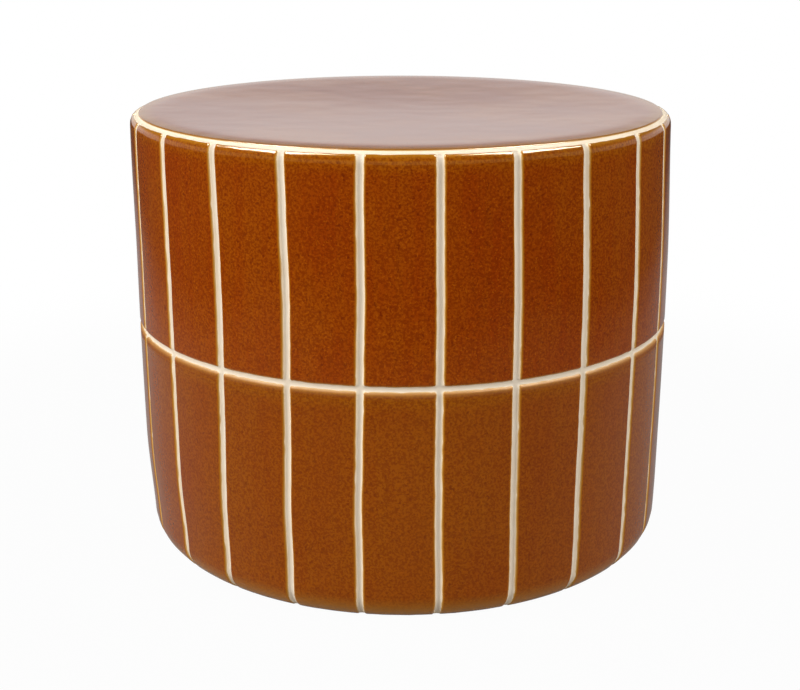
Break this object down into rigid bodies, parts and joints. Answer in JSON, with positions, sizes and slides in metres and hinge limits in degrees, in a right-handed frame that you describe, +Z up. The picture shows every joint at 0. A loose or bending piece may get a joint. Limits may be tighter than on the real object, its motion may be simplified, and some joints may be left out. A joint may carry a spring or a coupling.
{
  "type": "garden stool",
  "caption": "Low drum-shaped ceramic garden stool with raised glazed panels between bare clay lines and a shallow dished seat.",
  "frame": {"origin": "centre of the foot, on the surface that the stool stands on", "axes": "+Z up through the middle of the seat; -Y is the front, on the middle of the first panel"},
  "size_m": [0.4, 0.4, 0.3256],
  "materials": {
    "bare_stoneware": "matt, unglazed cream stoneware",
    "panel_glaze": "gloss, mottled amber brown glaze",
    "seat_glaze": "gloss, amber brown glaze"
  },
  "bodies": {
    "root": {"side_wall": "bare_stoneware", "seat_slab": "seat_glaze", "upper_panel_01": "panel_glaze", "upper_panel_02": "panel_glaze", "upper_panel_03": "panel_glaze", "upper_panel_04": "panel_glaze", "upper_panel_05": "panel_glaze", "upper_panel_06": "panel_glaze", "upper_panel_07": "panel_glaze", "upper_panel_08": "panel_glaze", "upper_panel_09": "panel_glaze", "upper_panel_10": "panel_glaze", "upper_panel_11": "panel_glaze", "upper_panel_12": "panel_glaze", "upper_panel_13": "panel_glaze", "upper_panel_14": "panel_glaze", "upper_panel_15": "panel_glaze", "upper_panel_16": "panel_glaze", "upper_panel_17": "panel_glaze", "upper_panel_18": "panel_glaze", "upper_panel_19": "panel_glaze", "upper_panel_20": "panel_glaze", "upper_panel_21": "panel_glaze", "upper_panel_22": "panel_glaze", "upper_panel_23": "panel_glaze", "upper_panel_24": "panel_glaze", "lower_panel_01": "panel_glaze", "lower_panel_02": "panel_glaze", "lower_panel_03": "panel_glaze", "lower_panel_04": "panel_glaze", "lower_panel_05": "panel_glaze", "lower_panel_06": "panel_glaze", "lower_panel_07": "panel_glaze", "lower_panel_08": "panel_glaze", "lower_panel_09": "panel_glaze", "lower_panel_10": "panel_glaze", "lower_panel_11": "panel_glaze", "lower_panel_12": "panel_glaze", "lower_panel_13": "panel_glaze", "lower_panel_14": "panel_glaze", "lower_panel_15": "panel_glaze", "lower_panel_16": "panel_glaze", "lower_panel_17": "panel_glaze", "lower_panel_18": "panel_glaze", "lower_panel_19": "panel_glaze", "lower_panel_20": "panel_glaze", "lower_panel_21": "panel_glaze", "lower_panel_22": "panel_glaze", "lower_panel_23": "panel_glaze", "lower_panel_24": "panel_glaze"}
  },
  "joints": []
}
